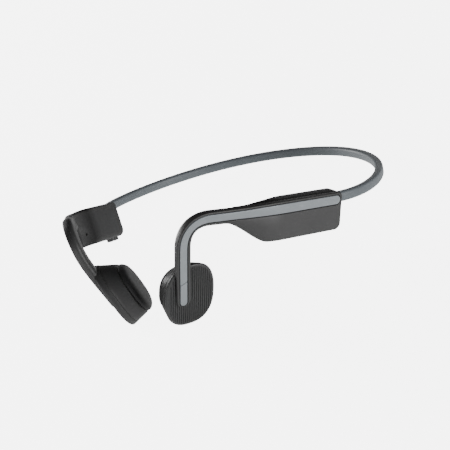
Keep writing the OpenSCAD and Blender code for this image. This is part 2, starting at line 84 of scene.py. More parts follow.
REST_TILT, REST_SHIFT = 24.26, np.array([0, -7.5, 22])
# Gap on either side of the strip, crease between plate and shell, depth for the button's travel
GROOVE, CREASE, PRESS_ROOM = 0.34, 0.34, 0.42
SPLIT_SLANT, SPLIT_HALF, STRIP_CROWN = -0.4, 0.11, 0.05
SLOT_STEPS, KEY_R, SIGN_HALF, SIGN_THIN, PRONG_HALF = 10, 1.45, 0.62, 0.13, 3.3
# Room left round the hook, the band's end and the keys; sections closer than the least step are dropped
HOOK_ROOM, BAND_ROOM, KEY_GAP, LEAST_STEP = 0.12, 0.14, 0.12, 0.008
# Edges sharper than this many degrees stay hard
FRAME_SHARP, SHELL_SHARP, POD_SHARP, BAND_SHARP, RIB_SHARP = 32, 34, 40, 50, 60


# ---------------------------------------------------------------- directions, curves and the two sides
def sin(degrees):
    return math.sin(math.radians(degrees))


def cos(degrees):
    return math.cos(math.radians(degrees))


def forward(yaw):
    return np.array([-sin(yaw), -cos(yaw), 0])


def downward(yaw, lean):
    return np.array([-cos(yaw) * sin(lean), sin(yaw) * sin(lean), -cos(lean)])


def outward(yaw, lean):
    return np.array([cos(yaw) * cos(lean), -sin(yaw) * cos(lean), -sin(lean)])


def unit(v):
    return v / np.linalg.norm(v)


def mix(a, b, w):
    return a + (b - a) * w


def ease(x):
    c = min(1.0, max(0.0, x))
    return c * c * (3 - 2 * c)


HOUSING_FWD, HOUSING_DOWN = forward(TOE_IN), downward(TOE_IN, LEAN_IN)
HOUSING_OUT = outward(TOE_IN, LEAN_IN)
POD_FWD = cos(POD_TURN) * forward(POD_YAW) + sin(POD_TURN) * downward(POD_YAW, POD_LEAN)
POD_DOWN_DIR = cos(POD_TURN) * downward(POD_YAW, POD_LEAN) - sin(POD_TURN) * forward(POD_YAW)
POD_OUT = outward(POD_YAW, POD_LEAN)
HOUSING_CORNER = np.array([HALF_WIDTH, 0, 0])
POD_CENTRE = np.array([18.4, -50.2, -32.7])
ARM_TIP = POD_CENTRE + 3.6 * POD_FWD + 2.9 * POD_DOWN_DIR + 1.7 * POD_OUT
HOOK_START = HOUSING_CORNER + STRAIGHT_L * HOUSING_FWD + STRIP_DROP * HOUSING_DOWN
HOOK_RUN = np.array([42, -46.7, -3])
BEND_START = np.array([35.2, -55.4, -3])
BEND_END = np.array([26.1, -62.4, -13.4])
RUN_DIR = forward(HOOK_HEADING)
DROP_DIR = unit(np.array([-0.27, 0.2, -0.94]))


def curve(a, da, b, db, reach):
    return [a, a + reach * da, b - reach * db, b]


def line(a, b):
    return [a, mix(a, b, 1 / 3), mix(a, b, 2 / 3), b]


def bezier(p, t):
    s = 1 - t
    return s**3 * p[0] + 3 * s * s * t * p[1] + 3 * s * t * t * p[2] + t**3 * p[3]


def bezier_dir(p, t):
    s = 1 - t
    return unit(s * s * (p[1] - p[0]) + 2 * s * t * (p[2] - p[1]) + t * t * (p[3] - p[2]))


def curve_length(p):
    points = [bezier(p, k / 16) for k in range(17)]
    return sum(np.linalg.norm(b - a) for a, b in zip(points, points[1:]))


SPINE = [
    line(HOUSING_CORNER + STRIP_DROP * HOUSING_DOWN, HOOK_START),
    curve(HOOK_START, HOUSING_FWD, HOOK_RUN, RUN_DIR, 6.5),
    line(HOOK_RUN, BEND_START),
    curve(BEND_START, RUN_DIR, BEND_END, DROP_DIR, 6.8),
    curve(BEND_END, DROP_DIR, ARM_TIP, POD_DOWN_DIR, 8),
]
SEG_L = [curve_length(b) for b in SPINE]
SEG_START = [sum(SEG_L[:i]) for i in range(6)]
SIDE_L = SEG_START[5]
SHELL_END = SEG_START[2] + 2
STRIP_START, STRIP_END = 1.5, SIDE_L - 1
BUTTON_START = STRIP_END - BUTTON_L


def side_at(l):
    """Point, direction, outward normal and the way down the face, at station l."""
    i = max(k for k in range(5) if k == 0 or l >= SEG_START[k])
    t = (l - SEG_START[i]) / SEG_L[i]
    ahead = bezier_dir(SPINE[i], t)
    w = ease((l - SEG_START[1]) / (SEG_START[4] - SEG_START[1]))
    n = mix(HOUSING_OUT, POD_OUT, w)
    n = unit(n - np.dot(n, ahead) * ahead)
    return bezier(SPINE[i], t), ahead, n, np.cross(n, ahead)


def drawn_in(x, r):
    """How far a corner of radius r has drawn in at a distance x from the end."""
    if x >= r:
        return 0
    return r - math.sqrt(r * r - (r - max(x, 0)) ** 2)


def hook_half(l, side):
    w = ease((l - SEG_START[3]) / SEG_L[3])
    return mix(HOOK_W, ARM_W, w) / 2 + side * mix(HOOK_OFFSET, ARM_OFFSET, w)


def above(l):
    reach = mix(STRIP_DROP, hook_half(l, -1), ease((l - STRAIGHT_L) / 20))
    return reach - drawn_in(l, CORNER_TOP) - drawn_in(SIDE_L - l, ARM_W / 2) * 0.95


def below(l):
    reach = mix(HOUSING_H - STRIP_DROP, hook_half(l, 1), ease((l - 39.5) / 18))
    return reach - drawn_in(l, CORNER_LOW) - drawn_in(SIDE_L - l, ARM_W / 2) * 0.95


def shell_depth(l):
    return mix(HOUSING_T, HOOK_T, ease((l - 27) / (SHELL_END - 27))) - drawn_in(l, 1.8)


def bevel(l):
    return mix(1.6, 5.2, ease((l - 30) / 14)) * min(1, (below(l) - 1.6) / 6)


def strip_half(l):
    return mix(STRIP_W, STRIP_W_HOOK, ease((l - STRAIGHT_L) / 25)) / 2


def on_side(l, points):
    """Points at station l, each given by how far down the face and how far behind it."""
    at, ahead, n, down = side_at(l)
    return [at + p[0] * down - p[1] * n for p in points]


def on_housing(p):
    return HOUSING_CORNER + p[0] * HOUSING_FWD + p[1] * HOUSING_DOWN + p[2] * HOUSING_OUT


def on_pod(p):
    return POD_CENTRE + p[0] * POD_FWD + p[1] * POD_DOWN_DIR + p[2] * POD_OUT


def stand(points):
    """As worn, in mm, to as it stands on the table, in metres."""
    p = np.asarray(points, float)
    c, s = cos(REST_TILT), sin(REST_TILT)
    y = p[..., 1] * c + p[..., 2] * s
    z = -p[..., 1] * s + p[..., 2] * c
    return (np.stack([p[..., 0], y, z], -1) + REST_SHIFT) * MM


# ---------------------------------------------------------------- mesh helpers
def rounded(corners, radii, steps):
    """A closed outline, each corner rounded by its own radius in its own number of steps."""
    out = []
    count = len(corners)
    for i in range(count):
        p = np.array(corners[i], float)
        before = np.array(corners[i - 1], float) - p
        after = np.array(corners[(i + 1) % count], float) - p
        turn = math.acos(max(-1, min(1, np.dot(unit(before), unit(after)))))
        half = math.tan(turn / 2)
        reach = min(radii[i] / max(half, 1e-3), 0.49 * np.linalg.norm(before), 0.49 * np.linalg.norm(after))
        a, b = p + unit(before) * reach, p + unit(after) * reach
        n = steps[i]
        for k in range(n + 1):
            t = k / max(n, 1)
            w = 1 - 0.16 * math.sin(math.pi * t)
            q = (1 - t) ** 2 * a + 2 * t * (1 - t) * p + t * t * b
            chord = mix(a, b, t)
            out.append(mix(chord, q, w))
    return out


def ring_faces(count, n):
    """Faces between rings of n points each, and one across either end."""
    faces = []
    for i in range(count - 1):
        for j in range(n):
            k = (j + 1) % n
            faces.append((i * n + j, i * n + k, (i + 1) * n + k, (i + 1) * n + j))
    faces.append(tuple(range(n - 1, -1, -1)))
    faces.append(tuple((count - 1) * n + j for j in range(n)))
    return faces


def mesh_data(rings):
    points = [p for ring in rings for p in ring]
    return points, ring_faces(len(rings), len(rings[0]))


def joined(parts):
    """One list of points and faces from several."""
    points, faces = [], []
    for p, f in parts:
        base = len(points)
        points.extend(p)
        faces.extend(tuple(base + i for i in face) for face in f)
    return points, faces


def make(name, part, mirrored=False, sharp=38):
    """An object from points as worn, in mm, set on the table."""
    points, faces = part
    p = np.array(points, float)
    if mirrored:
        p[:, 0] *= -1
        faces = [tuple(reversed(f)) for f in faces]
    mesh = bpy.data.meshes.new(name)
    mesh.from_pydata(stand(p).tolist(), [], faces)
    mesh.update()
    b = bmesh.new()
    b.from_mesh(mesh)
    bmesh.ops.remove_doubles(b, verts=b.verts, dist=1e-7)
    bmesh.ops.dissolve_degenerate(b, dist=1e-7, edges=b.edges)
    bmesh.ops.recalc_face_normals(b, faces=b.faces)
    b.to_mesh(mesh)
    b.free()
    o = bpy.data.objects.new(name, mesh)
    bpy.context.scene.collection.objects.link(o)
    smooth(o, sharp)
    return o


def smooth(o, sharp):
    o.data.shade_smooth()
    o.data.set_sharp_from_angle(angle=math.radians(sharp))


def cut(o, cutters, sharp, operation="DIFFERENCE"):
    """Cuts other objects out of o, or with INTERSECT keeps what they share with it, and removes them."""
    for c in cutters:
        m = o.modifiers.new("cut", "BOOLEAN")
        m.operation = operation
        m.solver = "EXACT"
        m.object = c
    graph = bpy.context.evaluated_depsgraph_get()
    mesh = bpy.data.meshes.new_from_object(o.evaluated_get(graph))
    o.modifiers.clear()
    o.data = mesh
    for c in cutters:
        bpy.data.objects.remove(c)
    smooth(o, sharp)
    return o


def around(steps, radius, place):
    """The points of a circle, each put in place by a function of its two coordinates."""
    return [place(radius * cos(360 * k / steps), radius * sin(360 * k / steps)) for k in range(steps)]


# ---------------------------------------------------------------- materials
class Shade:
    """A node material: a principled shader with grain, mottling and a fine bump."""

    def __init__(self, name, **sockets):
        self.name = name
        self.mat = bpy.data.materials.new(name)
        self.mat.use_nodes = True
        self.tree = self.mat.node_tree
        self.shader = self.tree.nodes["Principled BSDF"]
        for key, value in sockets.items():
            self.shader.inputs[key.replace("_", " ")].default_value = value

    def node(self, kind, **values):
        n = self.tree.nodes.new(kind)
        for key, value in values.items():
            if hasattr(n, key):
                setattr(n, key, value)
            else:
                n.inputs[key.replace("_", " ")].default_value = value
        return n

    def link(self, a, out, b, into):
        self.tree.links.new(a.outputs[out], b.inputs[into])

    def place(self, stretch=(1, 1, 1)):
        where = self.node("ShaderNodeTexCoord")
        scaled = self.node("ShaderNodeMapping")
        scaled.inputs["Scale"].default_value = stretch
        self.link(where, "Object", scaled, "Vector")
        return scaled

    def noise(self, scale, detail=3, stretch=(1, 1, 1)):
        n = self.node("ShaderNodeTexNoise", Scale=scale, Detail=detail)
        self.link(self.place(stretch), "Vector", n, "Vector")
        return n

    def ramp(self, source, out, stops):
        r = self.node("ShaderNodeValToRGB")
        while len(r.color_ramp.elements) < len(stops):
            r.color_ramp.elements.new(0.5)
        for e, (at, colour) in zip(r.color_ramp.elements, stops):
            e.position = at
            e.color = (*colour, 1)
        self.link(source, out, r, "Fac")
        return r

    def colour(self, dark, light, scale=90, low=0.35, high=0.65):
        r = self.ramp(self.noise(scale), "Fac", [(low, dark), (high, light)])
        self.link(r, "Color", self.shader, "Base Color")
        return self

    def rough(self, low, high, scale=400):
        m = self.node("ShaderNodeMapRange")
        m.inputs["To Min"].default_value = low
        m.inputs["To Max"].default_value = high
        self.link(self.noise(scale), "Fac", m, "Value")
        self.link(m, "Result", self.shader, "Roughness")
        return self

    def grain(self, scale, strength, distance, stretch=(1, 1, 1)):
        bump = self.node("ShaderNodeBump", Strength=strength, Distance=distance)
        self.link(self.noise(scale, 2, stretch), "Fac", bump, "Height")
        self.link(bump, "Normal", self.shader, "Normal")
        return self


def make_materials():
    plate = Shade("plate_plastic", Specular_IOR_Level=0.6)
    plate.colour((0.035, 0.035, 0.0355), (0.039, 0.039, 0.0395))
    plate.rough(0.44, 0.52).grain(5200, 0.25, 0.00004)
    shell = Shade("shell_plastic", Specular_IOR_Level=0.25)
    shell.colour((0.014, 0.014, 0.0143), (0.017, 0.017, 0.0173))
    shell.rough(0.42, 0.52).grain(4200, 0.18, 0.00004)
    strip = Shade("strip_silver", Metallic=0.35, Specular_IOR_Level=0.5)
    strip.colour((0.29, 0.315, 0.333), (0.315, 0.34, 0.358), 160)
    strip.rough(0.34, 0.42).grain(6000, 0.12, 0.00003)
    pod = Shade("pod_plastic", Specular_IOR_Level=0.45)
    pod.colour((0.042, 0.042, 0.0425), (0.048, 0.048, 0.0485)).rough(0.4, 0.5).grain(4600, 0.22, 0.00004)
    pad = Shade("pad_silicone", Specular_IOR_Level=0.3, Sheen_Weight=0.08, Sheen_Roughness=0.5)
    pad.colour((0.024, 0.024, 0.025), (0.03, 0.03, 0.031)).rough(0.48, 0.6).grain(3000, 0.2, 0.00005)
    band = Shade("band_silicone", Specular_IOR_Level=0.4, Sheen_Weight=0.12, Sheen_Roughness=0.45)
    band.colour((0.135, 0.154, 0.168), (0.152, 0.172, 0.187), 120)
    band.rough(0.42, 0.54).grain(3400, 0.22, 0.00005)
    key = Shade("key_rubber", Specular_IOR_Level=0.5)
    key.colour((0.012, 0.012, 0.013), (0.018, 0.018, 0.019)).rough(0.3, 0.42).grain(3600, 0.2, 0.00004)
    steel = Shade("wire_steel", Metallic=1.0)
    steel.colour((0.5, 0.51, 0.53), (0.6, 0.61, 0.63)).rough(0.22, 0.4, 2600).grain(2400, 0.2, 0.00004)
    port = Shade("port_steel", Metallic=1.0)
    port.colour((0.52, 0.53, 0.55), (0.6, 0.61, 0.63))
    port.rough(0.2, 0.34, 1800).grain(3000, 0.12, 0.00003, (1, 1, 8))
    clamp = Shade("clamp_steel", Metallic=1.0)
    clamp.colour((0.42, 0.43, 0.45), (0.52, 0.53, 0.55)).rough(0.3, 0.45, 1500).grain(2600, 0.2, 0.00004)
    yoke = Shade("yoke_steel", Metallic=1.0)
    yoke.colour((0.3, 0.31, 0.33), (0.42, 0.43, 0.45)).rough(0.28, 0.44, 900).grain(1800, 0.15, 0.00004)
    magnet = Shade("magnet_nickel", Metallic=1.0)
    magnet.colour((0.6, 0.6, 0.61), (0.68, 0.68, 0.69)).rough(0.12, 0.22, 700).grain(900, 0.08, 0.00004)
    coil = Shade("coil_copper", Metallic=0.9)
    coil.colour((0.42, 0.17, 0.06), (0.6, 0.27, 0.1), 1500).rough(0.3, 0.44, 1500)
    coil.grain(1500, 0.5, 0.0001, (0.2, 0.2, 6))
    bronze = Shade("spring_bronze", Metallic=1.0)
    bronze.colour((0.55, 0.4, 0.18), (0.64, 0.48, 0.24)).rough(0.24, 0.36, 900).grain(2000, 0.1, 0.00003)
    wrap = Shade("cell_wrap", Metallic=0.5)
    wrap.colour((0.2, 0.26, 0.38), (0.28, 0.34, 0.46), 300)
    wrap.rough(0.22, 0.36, 500).grain(420, 0.4, 0.0002)
    board = Shade("circuit_board", Coat_Weight=0.4, Coat_Roughness=0.2)
    board.colour((0.015, 0.1, 0.04), (0.03, 0.16, 0.07), 900, 0.45, 0.55)
    board.rough(0.3, 0.4).grain(1200, 0.3, 0.00005)
    can = Shade("module_can", Metallic=1.0)
    can.colour((0.36, 0.37, 0.39), (0.46, 0.47, 0.49)).rough(0.26, 0.4, 1200).grain(1500, 0.15, 0.00004)
    jacket = Shade("cable_jacket")
    jacket.colour((0.02, 0.02, 0.022), (0.028, 0.028, 0.03)).rough(0.4, 0.5).grain(2500, 0.2, 0.00005)
    switch = Shade("switch_plastic")
    switch.colour((0.5, 0.44, 0.3), (0.58, 0.52, 0.37)).rough(0.3, 0.4).grain(1500, 0.15, 0.00004)
    foam = Shade("gasket_foam")
    foam.colour((0.012, 0.012, 0.012), (0.022, 0.022, 0.022), 2500)
    foam.rough(0.75, 0.9).grain(5000, 0.8, 0.0001)
    light = Shade("light_pipe", Transmission_Weight=0.3, IOR=1.49)
    light.colour((0.03, 0.032, 0.035), (0.045, 0.048, 0.05)).rough(0.4, 0.5).grain(1500, 0.08, 0.00003)
    made = (plate, shell, strip, pod, pad, band, key, steel, port, clamp, yoke, magnet, coil, bronze, wrap)
    made += (board, can, jacket, switch, foam, light)
    return {s.name: s.mat for s in made}


MATERIALS = make_materials()
BODY_OF = {n: b for b, ns in frame["record"]["behaviour"]["bodies"].items() for n in ns}
SLOT_OF = {s["node"]: s["material_slot"] for s in frame["record"]["subparts"]}


def paint(o, slot):
    o.data.materials.clear()
    o.data.materials.append(MATERIALS[slot])


def finished(o, node):
    """Paints a piece as its CAD node, puts it on that node's body and shows it in the node's place."""
    paint(o, SLOT_OF[node])
    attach(o, BODY_OF[node])
    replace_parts(o, node)
    return o


# ---------------------------------------------------------------- plate, hook and arm
def stations(l0, l1, step, ends0=(), ends1=()):
    """Stations from l0 to l1, closer together at the ends."""
    a = l0 + (max(ends0) if ends0 else 0)
    b = l1 - (max(ends1) if ends1 else 0)
    n = max(2, round((b - a) / step))
    middle = [mix(a, b, k / n) for k in range(n + 1)]
    return [l0 + e for e in ends0][:-1] + middle + [l1 - e for e in reversed(ends1)][1:]


# How far from a rounded end the sections stand
NEAR_END = (0, 0.04, 0.12, 0.25, 0.42, 0.65, 0.95, 1.3, 1.7, 2.2, 2.8)
TIP_END = (0, 0.02, 0.08, 0.18, 0.32, 0.5, 0.75, 1.05, 1.4, 1.8, 2.2, 2.7, 3.2)
GROOVE_END = (0, 0.01, 0.05, 0.12, 0.22, 0.36, 0.55, 0.8, 1.1, 1.5)
STRIP_ROUND = (0, 0.015, 0.06, 0.14, 0.26, 0.42, 0.62, 0.9, 1.25, 1.8)
# The angles of a quarter round
QUARTER = range(0, 91, 15)


def groove_at(l):
    """Half the width of the strip's groove at station l, round at both ends; 0 outside it."""
    full = strip_half(l) + GROOVE
    a, b = l - (STRIP_START - GROOVE), (STRIP_END + GROOVE) - l
    if a <= 0 or b <= 0:
        return 0
    return max(0.01, full - drawn_in(a, full) - drawn_in(b, full))


def frame_section(l, grow):
    """Outline of the plate or hook: outer face with the strip's groove, then the inner face."""
    a, b = max(0.12, above(l)) + grow, max(0.12, below(l)) + grow
    tip = SIDE_L - l
    soft_rear = drawn_in(l, 0.7)
    d0 = -grow + max(soft_rear, 0.9 * drawn_in(tip, EDGE_R))
    a, b = a - 0.8 * soft_rear, b - 0.8 * soft_rear
    full = HOOK_T if l > SHELL_END else PLATE_T
    d1 = full + grow - (0.5 * soft_rear if l < 2 else drawn_in(tip, 0.8))
    r_out = min(mix(EDGE_R, 1.7, ease((l - 34) / 16)), 0.8 * a)
    r_in = min(1.9 if l > SHELL_END else CREASE, 0.8 * a, (d1 - d0) * 0.6)
    g = 0 if grow else groove_at(l)
    r_up = min(r_out, max(0.2, a - g - 0.2))
    r_out = min(r_out, max(0.2, b - g - 0.2))
    deep = min(STRIP_T + mix(0.1, PRESS_ROOM, ease((l - BUTTON_START + 1) / 0.5)), g * 2)
    lip = min(0.1, g * 0.5)
    out = [(b - r_out + r_out * sin(t), d0 + r_out - r_out * cos(t)) for t in QUARTER]
    out += [(b - r_in + r_in * cos(t), d1 - r_in + r_in * sin(t)) for t in QUARTER]
    out += [(mix(b - r_in, r_in - a, k / 4), d1) for k in range(1, 4)]
    out += [(r_in - a - r_in * sin(t), d1 - r_in + r_in * cos(t)) for t in QUARTER]
    out += [(r_up - a - r_up * cos(t), d0 + r_up - r_up * sin(t)) for t in QUARTER]
    edge = r_up - a
    out += [(mix(edge, -g - lip, 0.5), d0)]
    out += [(-g - lip, d0), (-g - lip * 0.3, d0 + lip * 0.3), (-g, d0 + lip)]
    out += [(-g, d0 + deep), (g, d0 + deep)]
    out += [(g, d0 + lip), (g + lip * 0.3, d0 + lip * 0.3), (g + lip, d0)]
    out += [(mix(g + lip, b - r_out, 0.5), d0)]
    return out


def frame_rings(grow=0.0):
    """The sections of plate, hook and arm, none so close to the last that their faces would collapse."""
    rear = stations(0, STRAIGHT_L, 0.8, NEAR_END)
    easing = stations(STRAIGHT_L, SHELL_END - 0.02, 0.5)
    hook = stations(SHELL_END + 0.02, SIDE_L, 0.45, (), TIP_END)
    groove_ends = [STRIP_START - GROOVE + e for e in GROOVE_END]
    groove_ends += [STRIP_END + GROOVE - e for e in GROOVE_END]
    keep = sorted(set(round(l, 4) for l in rear + easing + hook + groove_ends))
    thin = [keep[0]]
    for l in keep[1:]:
        if l - thin[-1] > LEAST_STEP:
            thin.append(l)
    return [on_side(l, frame_section(l, grow)) for l in thin]


def ear_hook_frame(side):
    node = f"{side}_ear_hook_frame"
    o = make(f"{side}_hook_and_plate", mesh_data(frame_rings()), side == "right", FRAME_SHARP)
    return finished(o, node)


def hook_cutter(side):
    """The hook grown a little all round, which cuts its seat into the pod."""
    return make("cutter", mesh_data(frame_rings(HOOK_ROOM)), side == "right")


# ---------------------------------------------------------------- accent strip and its button
def strip_part(l0, l1, grow, round0, round1, slant0=0.0, slant1=0.0):
    """The strip between two stations. A slant leans a flat end across the strip."""
    rings = []
    for l in stations(l0, l1, 0.6, STRIP_ROUND, STRIP_ROUND):
        full = strip_half(l) + grow - 0.04
        g = full
        if round0:
            g -= drawn_in(l - l0, full)
        if round1:
            g -= drawn_in(l1 - l, full)
        g = max(0.03, g)
        lift0 = 0 if round0 else drawn_in(l - l0, 0.12)
        lift1 = 0 if round1 else drawn_in(l1 - l, 0.12)
        lift = max(lift0, lift1)
        edge = min(0.16, g * 0.6)
        face = -0.06 + lift
        section = [(g, STRIP_T - 0.1), (-g, STRIP_T - 0.1)]
        section += [(edge - g - edge * cos(t), face + edge - edge * sin(t)) for t in (0, 30, 60, 90)]
        for k in range(1, 6):
            section.append((mix(edge - g, g - edge, k / 6), face - STRIP_CROWN * (1 - (k / 3 - 1) ** 2)))
        section += [(g - edge + edge * sin(t), face + edge - edge * cos(t)) for t in (0, 30, 60, 90)]
        at = []
        for w, d in section:
            shift = slant0 * w * max(0, 1 - (l - l0) / 4) + slant1 * w * max(0, 1 - (l1 - l) / 4)
            at.append(on_side(l + shift, [(w, d)])[0])
        rings.append(at)
    return mesh_data(rings)


def accent_strip(side):
    node = f"{side}_accent_strip"
    if side == "left":
        part = strip_part(STRIP_START, BUTTON_START - SPLIT_HALF, 0, True, False, slant1=SPLIT_SLANT)
    else:
        part = strip_part(STRIP_START, STRIP_END, 0, True, True)
    return finished(make(f"{side}_silver_strip", part, side == "right", FRAME_SHARP), node)


def multifunction_button():
    part = strip_part(BUTTON_START + SPLIT_HALF, STRIP_END, -0.02, False, True, slant0=SPLIT_SLANT)
    return finished(make("button_end_of_strip", part, False, FRAME_SHARP), "multifunction_button")


# ---------------------------------------------------------------- inner housing shells
def shell_section(l, shrink, d0):
    """Outline of the inner half of the housing, which takes on the hook's round section at its front."""
    near_front = ease((l - (SHELL_END - 11)) / 11)
    soft = 0 if shrink else drawn_in(l, 0.7)
    a, b = above(l) + 0.06 - shrink - soft * 0.8, below(l) - shrink - soft * 0.8
    d1 = max(d0 + 0.6, shell_depth(l) - shrink)
    c = bevel(l) * (0.8 if shrink else 1)
    low = min(c * 0.75, d1 - d0 - 0.2)
    up = CROWN * min(1, (d1 - d0) / 5) * (1 - near_front)
    crease = 0 if shrink else CREASE * mix(1, 0.15, near_front)
    edge = [(crease * (1 - sin(t)), crease * (1 - cos(t))) for t in (0, 30, 60, 90)]
    corners = [(b, d0), (b, d1 - low), (b - c, d1), (-a, d1)]
    bevelled = rounded(corners, [0, 1.8, 2.8, 0], [0, 5, 6, 0])[1:14]
    reach = 1.9
    tall = min(reach, d1 - d0 - 0.02 - crease)
    quarter = [(b - reach * (1 - cos(t)), d1 - tall * (1 - sin(t))) for t in np.linspace(0, 90, 13)]
    out = [(b - x, d0 + y) for x, y in edge]
    out += [tuple(mix(np.array(p), np.array(q), near_front)) for p, q in zip(bevelled, quarter)]
    r = mix(1.5, reach, near_front)
    tall = min(r, tall)
    out += [(r * (1 - sin(t)) - a - up, d1 - tall * (1 - cos(t))) for t in QUARTER]
    out += [(-a - up * 0.94, mix(d0, d1 - tall, 0.66)), (-a - up * 0.55, mix(d0, d1 - tall, 0.33))]
    return out + [(x - a, d0 + y) for x, y in reversed(edge)]


def shell_rings(shrink, l0, l1, d0):
    ends = NEAR_END if not shrink else (0, 0.3, 0.8, 1.5, 2.4)
    front = () if shrink else (0, 0.05, 0.15, 0.3)
    return [on_side(l, shell_section(l, shrink, d0)) for l in stations(l0, l1, 0.7, ends, front)]


def housing_block(low, high, soft):
    """A box on the housing's axes (forward, down the face, out of it), its edges chamfered by soft."""
    (x0, y0, z0), (x1, y1, z1) = low, high
    corners = [(x0 + soft, z0), (x1 - soft, z0), (x1, z0 + soft), (x1, z1 - soft)]
    corners += [(x1 - soft, z1), (x0 + soft, z1), (x0, z1 - soft), (x0, z0 + soft)]
    return mesh_data([[on_housing((x, y, z)) for x, z in corners] for y in (y0, y1)])


def slot_outline(half, r, grow):
    """Outline of a slot with round ends, about its centre."""
    out = []
    for sx, a0 in ((1, -90), (-1, 90)):
        for k in range(SLOT_STEPS + 1):
            a = a0 + 180 * k / SLOT_STEPS
            out.append((sx * (half - r) + (r + grow) * cos(a), (r + grow) * sin(a)))
    return out


def slot_solid(x, z, half, r, grow, levels):
    """A slot-shaped solid through the levels (y, extra inset)."""
    rings = []
    for y, inset in levels:
        rings.append([on_housing((x + p, y, z + q)) for p, q in slot_outline(half, r, grow - inset)])
    return mesh_data(rings)


def key_shape(span, grow, levels):
    half = (span[1] - span[0]) / 2
    return slot_solid((span[0] + span[1]) / 2, KEY_Z, half, KEY_R, grow, levels)


def band_cutter(side):
    """The end of the band grown a little all round, which cuts its way into the housing."""
    return make("cutter", mesh_data(band_rings(BAND_ROOM, -BAND_TUCK - 0.6, 0.3)), side == "right")


def housing_shell(side):
    node = f"{side}_housing_shell"
    outer = mesh_data(shell_rings(0, 0, SHELL_END - 0.03, PLATE_T + 0.02))
    o = make(f"{side}_inner_housing", outer, side == "right", SHELL_SHARP)
    room = shell_rings(WALL, 3.2, SHELL_END - 3, PLATE_T - 0.5)
    cutters = [make("cutter", mesh_data(room), side == "right"), band_cutter(side)]
    if side == "right":
        cutters += [make("cutter", part, True) for part in housing_openings()]
    return finished(cut(o, cutters, SHELL_SHARP), node)


def housing_openings():
    """What is cut out of the right housing: keys, port, the cover's recess, light and sound hole."""
    outside = HOUSING_H + 2
    key_levels = [(HOUSING_H - 2.2, 0), (outside, 0)]
    openings = [key_shape(span, KEY_GAP, key_levels) for span in (REAR_KEY, FRONT_KEY)]
    port_levels = [(HOUSING_H - 8.2, 0), (outside, 0)]
    openings.append(slot_solid(PORT_X, PORT_Z, PORT_HALF, PORT_R, 0.05, port_levels))
    openings.append(cover_solid(0.2, HOUSING_H - COVER_T - 0.2, 0.12))
    circle = around(20, LIGHT_R, lambda x, z: (x, z))
    light = [[on_housing((LIGHT_X + x, y, KEY_Z + z)) for x, z in circle] for y in (HOUSING_H - 3, outside)]
    openings.append(mesh_data(light))
    openings.append(mic_hole(-9, -3.8, 0.6))
    return openings


def cover_solid(grow, floor, swing=0.0):
    """The room of the port's cover, from its floor out through the housing; swing is room at the hinge."""
    x0, x1, half = COVER_X[0] - grow, COVER_X[1] + grow + swing, COVER_W / 2 + grow
    outline = rounded([(x0, -half), (x1, -half), (x1, half), (x0, half)], [0.35 + grow] * 4, [6] * 4)
    return mesh_data([[on_housing((x, y, PORT_Z + z)) for x, z in outline] for y in (floor, HOUSING_H + 2)])


def mic_hole(z0, z1, r):
    """The sound hole, square to the sinking inner face, from depth z0 to z1."""
    def at(x, y, z):
        ahead = MIC_PLACE[0] + x * cos(MIC_TURN) + z * sin(MIC_TURN)
        out = MIC_PLACE[2] - x * sin(MIC_TURN) + z * cos(MIC_TURN)
        return on_housing((ahead, MIC_PLACE[1] + y, out))
    return mesh_data([around(24, r, lambda x, y: at(x, y, z)) for z in (z0, z1)])


# ---------------------------------------------------------------- keys and port cover
def volume_key(node, name, span, plus):
    """A rubber key with a flange inside the housing, a soft top and a raised plus or minus sign."""
    top = HOUSING_H + KEY_PROUD
    levels = [(HOUSING_H - 2.0, -0.3), (HOUSING_H - 1.3, -0.3), (HOUSING_H - 1.28, 0), (top - 0.42, 0)]
    levels += [(top - 0.28, 0.05), (top - 0.14, 0.16), (top - 0.04, 0.34), (top, 0.6), (top + 0.02, 1.0)]
    parts = [key_shape(span, 0, levels)]
    x = (span[0] + span[1]) / 2
    bars = [(SIGN_HALF, SIGN_THIN)] + ([(SIGN_THIN, SIGN_HALF)] if plus else [])
    for hx, hz in bars:
        rings = []
        for y, inset in ((top - 0.1, 0), (top + 0.07, 0), (top + 0.12, 0.05)):
            hx1, hz1 = hx - inset, hz - inset
            signs = ((-1, -1), (1, -1), (1, 1), (-1, 1))
            rings.append([on_housing((x + sx * hx1, y, KEY_Z + sz * hz1)) for sx, sz in signs])
        parts.append(mesh_data(rings))
    return finished(make(name, joined(parts), True, 40), node)


def port_cover():
    """A flush door that follows the housing's own surface, with a thin plug on its inner side."""
    outer = mesh_data(shell_rings(0, 0, SHELL_END - 0.03, PLATE_T + 0.02))
    door = make("port_door", outer, True, SHELL_SHARP)
    keep = make("cutter", cover_solid(0, HOUSING_H - COVER_T + 0.05), True)
    door = cut(door, [keep], SHELL_SHARP, "INTERSECT")
    prongs = []
    for z in (PORT_Z - 1, PORT_Z + 0.5):
        low = (PORT_X - PRONG_HALF, HOUSING_H - COVER_T - 1, z)
        high = (PORT_X + PRONG_HALF, HOUSING_H - COVER_T + 0.2, z + 0.5)
        prongs.append(housing_block(low, high, 0.08))
    extra = make("prongs", joined(prongs), True, SHELL_SHARP)
    b = bmesh.new()
    b.from_mesh(door.data)
    b.from_mesh(extra.data)
    b.to_mesh(door.data)
    b.free()
    bpy.data.objects.remove(extra)
    smooth(door, SHELL_SHARP)
    return finished(door, "port_cover")


# ---------------------------------------------------------------- pods
def rounded_power(c, n):
    """A sine or cosine raised so that it draws a superellipse of exponent n."""
    return math.copysign(abs(c) ** (2 / n), c)


